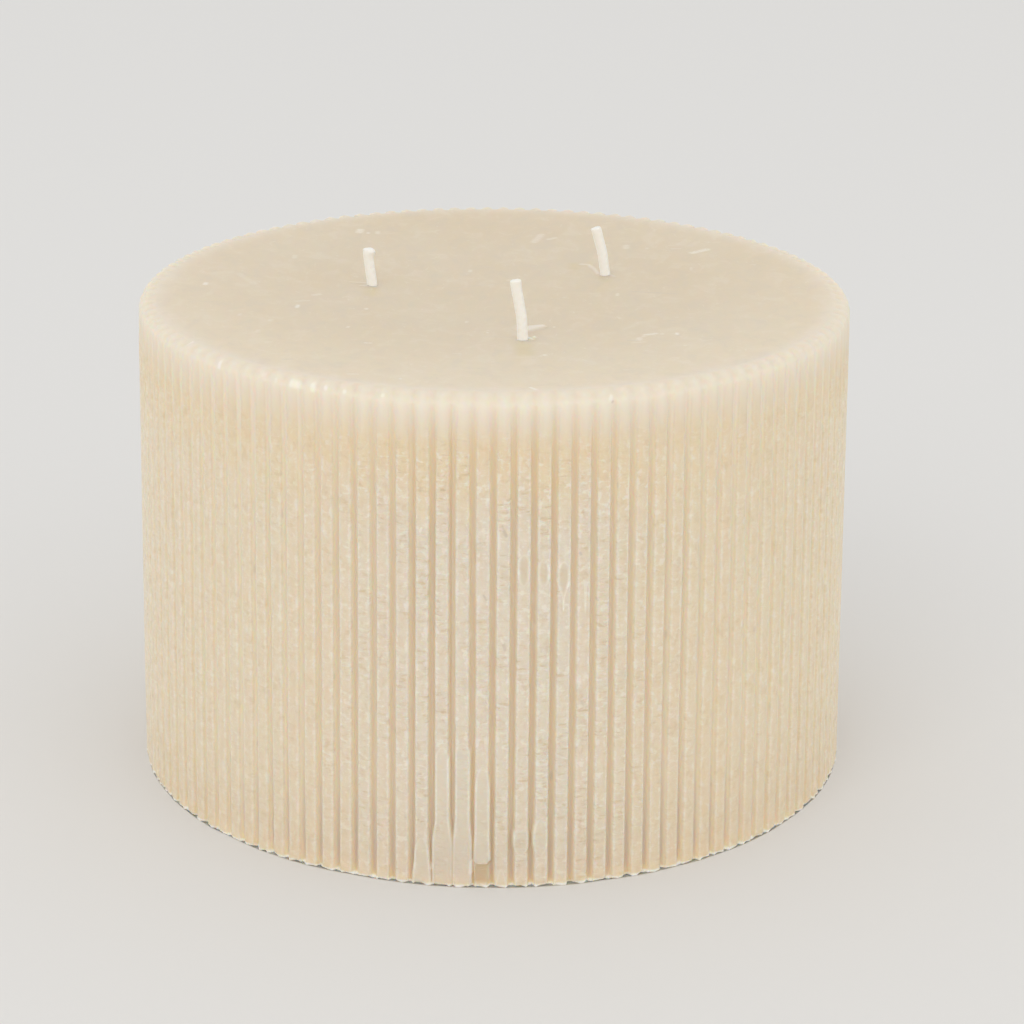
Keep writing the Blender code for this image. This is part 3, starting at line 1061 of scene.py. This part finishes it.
def makeWaxSide(grain, flecks, drip, scratch, face):
    material, shader = startMaterial("waxSide")
    place = placeInMm()
    radius = fromAxis(place)[1]
    split = newNode("SeparateXYZ", {0: newNode("UVMap", uv_map="ribMap").outputs["UV"]}).outputs
    rib, height = split["X"], times(split["Y"], 10.0)
    grains = grained(grain, place, 1.7, 0.045)

    # which rib, and how far across it: t is 0 on the crest and 1 in the groove
    number = calc("FLOOR", (plus(rib, 0.5), 0.0))
    t = times(unsigned(minus(rib, number)), 2.0)
    crest = ramp(t, 0.78, 0.60)
    own = newNode("TexWhiteNoise", {"W": number}, noise_dimensions="1D").outputs["Value"]

    def ribPlace(across, up, jump):
        # a place for noise that is squeezed across and up, and jumps from rib to rib
        place = {"X": times(rib, across), "Y": times(height, up), "Z": times(number, jump)}
        return newNode("CombineXYZ", place).outputs[0]

    # colour of the clean side, with the dry bloom that starts well below the shoulder
    low, high = wax["frostLine"]
    lower = ramp(plus(height, times(minus(own, 0.5), 8.0)), high, low)
    right = minus(calc("MODULO", (plus(rib, body["ribs"] / 2), float(body["ribs"]))), body["ribs"] / 2)
    fromFront = unsigned(right)
    # painted light and shade: away from the front the grooves are painted paler and the crests a little
    # darker, which evens out the grooves' shading there
    away = ramp(fromFront, 1.5, 14.0)
    bloom = times(ramp(away, 0.0, 1.0, 1.0, 0.5), ramp(ramp(right, 1.0, 9.0), 0.0, 1.0, 1.0, 0.6))
    inGroove = layers(wax["grooveTop"], [(lower, "groove"), (times(away, 0.9), "grooveSideLight")])
    onCrest = layers(wax["clean"], [(times(lower, bloom), "frost"), (times(away, 0.1), "bare")])
    tint = mixColour(own, (1.0, 0.985, 0.97), (0.99, 1.0, 1.0))
    colour = mixColour(crest, inGroove, mixColour(1.0, onCrest, tint, "MULTIPLY"))

    # mottling with thin pale veins, slanted strokes, ripples that lie across the crest here
    # and there, and pale wear along its edges
    dry = times(crest, ramp(height, 96.0, 87.0))
    veil = noise(ribPlace(2.4, 0.42, 5.7), 1.0, 3.0, 0.6, 0.8)
    vein = ramp(unsigned(minus(veil, 0.53)), 0.022, 0.0)
    slanted = stretched(ribPlace(2.2, 0.8, 9.7), (1.0, 1.0, 1.0), (0.0, 0.0, 0.6))
    stroke = times(ramp(noise(slanted, 1.0), 0.58, 0.70, 0.0, 0.6), dry)
    ripple = noise(ribPlace(1.5, 1.3, 7.3), 1.0, 3.0, 0.6, 0.4)
    rippled = times(ramp(noise(ribPlace(0.7, 0.10, 3.1), 1.0, 1.0), 0.42, 0.60, 0.3, 1.0), dry)
    rippled = times(rippled, ramp(fromFront, 12.0, 3.0, 0.9, 2.1))
    wear = ramp(noise(ribPlace(1.7, 0.5, 11.3), 1.0, 3.0, 0.65), 0.42, 0.72)
    wornFrom = minus(0.60, times(wear, 0.50))
    worn = times(ramp(t, wornFrom, plus(wornFrom, 0.16)), ramp(t, 0.76, 0.62))
    worn = times(worn, ramp(height, 95.0, 82.0), ramp(away, 0.0, 1.0, 1.0, 0.6))
    tall = stretched(place, (1.0, 1.0, 0.42))
    speck = flecked(flecks, tall, 0.5, 0.26, 0.17, 0.09)
    below = ramp(height, 96.0, 90.0)
    colour = layers(colour, [
        (times(ramp(veil, 0.46, 0.28, 0.0, 0.32), dry), "bare"),
        (times(ramp(veil, 0.54, 0.70, 0.0, 0.28), dry), "pale"),
        (times(stroke, ramp(fromFront, 14.0, 4.0, 0.4, 1.0)), "pale"),
        (times(vein, dry, 0.28), "pale"),
        (times(ramp(ripple, 0.46, 0.30, 0.0, 0.34), rippled), "bare"),
        (times(ramp(ripple, 0.55, 0.70, 0.0, 0.30), rippled), "pale"),
        (times(worn, ramp(wear, 0.0, 1.0, 0.12, 0.50)), "pale"),
        (times(speck["Mask"], below, 0.35), "pale"),
        (times(speck["Other"], below, 0.32), "shade"),
    ])

    # runs, drops and rings, and the patch where a run has chipped off
    inside, outline, hollow = [], [], []
    for mark in drips + ringMarks:
        isRing = mark in ringMarks
        line = 0.20 if isRing else 0.13
        values = {"Rib": rib, "Height": height, "Middle": mapRib(mark["rib"]), "Line": line}
        values.update((name.capitalize(), mark[name]) for name in ("top", "bottom", "upper", "lower"))
        bends = ("Flare Low", "Flare High", "Top End", "Bottom End")
        values.update(zip(bends, mark["flare"] + mark["ends"]))
        found = useGroup(drip, values)
        inside.append(found["Inside"])
        outline.append(times(found["Edge"], 1.2 if isRing else 1.0))
        if isRing:
            hollow.append(found["Inside"])
    inside = larger(*inside)
    patch = chippedPatch
    nearPatch = unsigned(minus(rib, mapRib(patch["rib"])))
    bare = times(
        ramp(nearPatch, patch["half"] + 0.03, patch["half"] - 0.03),
        ramp(height, patch["low"] - 0.2, patch["low"] + 0.4),
        ramp(height, patch["high"] + 0.1, patch["high"] - 0.1),
    )
    colour = layers(colour, [
        (times(inside, ramp(veil, 0.35, 0.65, 0.45, 0.8)), "drip"),
        (times(larger(*hollow), 0.3), "bare"),
        (times(larger(*outline), ramp(wear, 0.0, 1.0, 0.45, 1.0)), "bright"),
        (bare, "bare"),
    ])

    # painted shade: a little darker towards the ragged foot, most in the grooves, where less light
    # reaches near the floor, with a pale lip
    colour = layers(colour, [
        (ramp(height, 28.0, 0.0, 0.0, 0.16), "bare"),
        (times(ramp(height, 24.0, 2.0, 0.0, 0.35), ramp(t, 0.7, 0.95)), "shade"),
        (times(ramp(height, 1.7, 0.8), 0.22), "bare"),
        (times(ramp(height, 0.75, 0.35), ramp(veil, 0.3, 0.6, 0.5, 1.0)), "pale"),
    ])

    # over the shoulder it passes into the top face, and the small marks lie over all
    # painted light with the frost: a paler band under the shoulder, weaker away from the front
    band = times(ramp(height, 88.5, 99.0), ramp(away, 0.0, 1.0, 1.0, 0.78))
    colour = layers(colour, [(band, "band")])
    upper = faceColour(face, place, radius, grains["Cloud"])
    colour = mixColour(ramp(height, 97.7, 99.4), colour, upper)
    wide = wax["ribWidth"]
    unrolled = newNode("CombineXYZ", {"X": times(rib, wide), "Y": height}).outputs[0]
    for kind in ("shade", "pale"):
        lines = [(mapRib(a) * wide, low, mapRib(b) * wide, high, width, strength)
                 for a, low, b, high, width, strength, tone in sideMarks if tone == kind]
        colour = layers(colour, [(strongest(scratch, unrolled, lines), kind)])

    # dry crests are rougher than the clean wax and the drips
    rough = ramp(times(dry, minus(1.0, inside)), 0.0, 1.0, *wax["rough"])
    give(shader, {"Base Color": colour, "Roughness": plus(rough, ramp(veil, 0.3, 0.7, -0.04, 0.04))})
    fine = times(plus(grains["Grain"], veil), 0.03)
    addBump(shader, plus(times(ripple, 0.14, rippled), fine))
    setWax(shader)
    return material


# cotton and tinplate

cotton = {
    "light": (1.0, 0.985, 0.93),
    "shade": (0.97, 0.93, 0.83),
    "soaked": (1.0, 0.98, 0.91),
    "lint": (1.0, 0.98, 0.94),
}


def makeCotton(grain, flecks):
    # waxed cotton: lengthwise fibres, creases a little darker, wax soaked in here and there
    material, shader = startMaterial("waxedCotton")
    place = newNode("TexCoord").outputs["Object"]
    grains = grained(grain, place, 4200.0, 420.0)
    strands = noise(stretched(place, (1.0, 1.0, 0.16), (0.0, 0.35, 0.0)), 5200.0, 2.0, 0.6)
    lint = flecked(flecks, place, 1600.0, 0.3, 0.06)["Mask"]
    high = newNode("SeparateXYZ", {0: place}).outputs["Z"]
    colour = mixColour(ramp(strands, 0.42, 0.30), cotton["light"], cotton["shade"])
    colour = mixColour(times(grains["Cloud"], 0.35), colour, cotton["soaked"])
    colour = mixColour(times(lint, 0.6), colour, cotton["lint"])
    colour = mixColour(ramp(high, 102.0 * mm, 110.0 * mm, 0.0, 0.6), colour, cotton["shade"])
    give(shader, {
        "Base Color": colour, "Roughness": ramp(grains["Cloud"], 0.0, 1.0, 0.62, 0.48),
        "Coat Weight": 0.5, "Coat Roughness": 0.45, "Sheen Weight": 0.3,
        "Subsurface Weight": 0.15, "Subsurface Radius": (1.0, 0.8, 0.6), "Subsurface Scale": 0.6 * mm,
    })
    addBump(shader, plus(times(strands, 0.05), times(grains["Grain"], 0.03)), 0.8)
    return material


tinplate = {
    "bright": (0.66, 0.65, 0.62),
    "dull": (0.48, 0.47, 0.44),
    "waxFilm": (0.70, 0.64, 0.52),
}


def makeTinplate(grain, flecks):
    # rolled tinplate: fine straight rolling lines, dull clouds and a few dried films of wax
    material, shader = startMaterial("tinplate")
    place = newNode("TexCoord").outputs["Object"]
    grains = grained(grain, place, 2600.0, 160.0)
    lines = noise(stretched(place, (1.0, 0.04, 1.0)), 5200.0, 2.0, 0.6)
    film = flecked(flecks, place, 380.0, 0.5, 0.18)["Mask"]
    colour = mixColour(times(grains["Cloud"], 0.6), tinplate["bright"], tinplate["dull"])
    colour = mixColour(times(film, 0.6), colour, tinplate["waxFilm"])
    rough = plus(ramp(lines, 0.3, 0.7, 0.24, 0.36), times(film, 0.25))
    give(shader, {"Base Color": colour, "Metallic": ramp(film, 0.0, 1.0, 1.0, 0.4), "Roughness": rough})
    addBump(shader, plus(times(lines, 0.01), times(film, 0.02)), 0.6)
    return material


# build the candle

def wickPlace(side):
    # middle of the wick's tab in mm
    low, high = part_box("wick_tab_" + side)
    return np.array([(low[0] + high[0]) / 2 / mm, (low[1] + high[1]) / 2 / mm])


sides = ("front", "right", "left")
wickPlaces = [wickPlace(side) for side in sides]
grain, flecks, drip = makeGrainGroup(), makeFleckGroup(), makeDripGroup()
scratch, face = makeScratchGroup(), makeFaceGroup()
waxSide = makeWaxSide(grain, flecks, drip, scratch, face)
waxTop = makeWaxTop(grain, flecks, scratch, face, [place.tolist() for place in wickPlaces])
waxBase = makeWaxBase(grain, flecks)
waxedCotton = makeCotton(grain, flecks)
rolledTin = makeTinplate(grain, flecks)
print("materials made")

makeWaxBody([waxSide, waxTop, waxBase], wickPlaces)
for side, place in zip(sides, wickPlaces):
    foot = float(dishHeight(math.hypot(*place) * mm))
    makeWick(side, place, foot, waxedCotton)
    makeTab("wickTab" + side.capitalize(), place, rolledTin, "wick_tab_" + side)
print("wicks and tabs made")


# floor and light

studio = {
    "floor": (0.80, 0.79, 0.77),
    "floorHalf": 3.0,
    "floorTop": -0.2 * mm,  # just under the base
    "seen": (0.90, 0.90, 0.89),  # the pale surround that the camera sees
    "sky": 0.86,  # how strongly the surround lights the candle
    "lights": {"keyLight": ((-0.9, -1.9, 1.7), 8.15), "fillLight": ((1.2, -1.5, 1.2), 2.2)},
    "lightSize": 1.4,
}


def makeFloor():
    # a square, clear from below, and for rays that come from the base right over it, so that
    # the base is lit too
    mesh = bpy.data.meshes.new("floor")
    half, top = studio["floorHalf"], studio["floorTop"]
    corners = [(-half, -half, top), (half, -half, top), (half, half, top), (-half, half, top)]
    mesh.from_pydata(corners, [], [(0, 1, 2, 3)])
    floor = addObject("floor", mesh)
    material, shader = startMaterial("paleFloor")
    give(shader, {"Base Color": studio["floor"], "Roughness": 0.9, "Specular IOR Level": 0.1})
    clear = newNode("BsdfTransparent")
    below = newNode("NewGeometry").outputs["Backfacing"]
    ray = newNode("LightPath").outputs
    near = calc("LESS_THAN", (ray["Ray Length"], 1.5 * mm))
    clearHere = larger(below, times(near, minus(1.0, ray["Is Camera Ray"])))
    mixed = newNode("MixShader", {0: clearHere, 1: shader.outputs[0], 2: clear.outputs[0]})
    give(material.node_tree.nodes["Material Output"], {"Surface": mixed.outputs[0]})
    mesh.materials.append(material)


def makeLight(name, place, power):
    # a square soft light that faces the candle
    data = bpy.data.lights.new(name, "AREA")
    data.size = studio["lightSize"]
    data.energy = power
    light = addObject(name, data)
    light.location = place
    light.rotation_euler = (Vector((0, 0, 0.05)) - Vector(place)).to_track_quat("-Z", "Y").to_euler()


def makeWorld():
    # white light all round, and a pale grey for the camera
    world = bpy.data.worlds.new("studio")
    bpy.context.scene.world = world
    world.use_nodes = True
    nodes = world.node_tree.nodes
    drawing["tree"] = world.node_tree
    give(nodes["Background"], {"Color": (1.0, 1.0, 1.0), "Strength": studio["sky"]})
    seen = newNode("Background", {"Color": studio["seen"], "Strength": 1.0})
    ray = newNode("LightPath").outputs["Is Camera Ray"]
    mixed = newNode("MixShader", {0: ray, 1: nodes["Background"].outputs[0], 2: seen.outputs[0]})
    give(nodes["World Output"], {"Surface": mixed.outputs[0]})


makeFloor()
makeWorld()
for name, (place, power) in studio["lights"].items():
    makeLight(name, place, power)
bpy.context.scene.view_settings.view_transform = "Standard"
print("floor and light made")
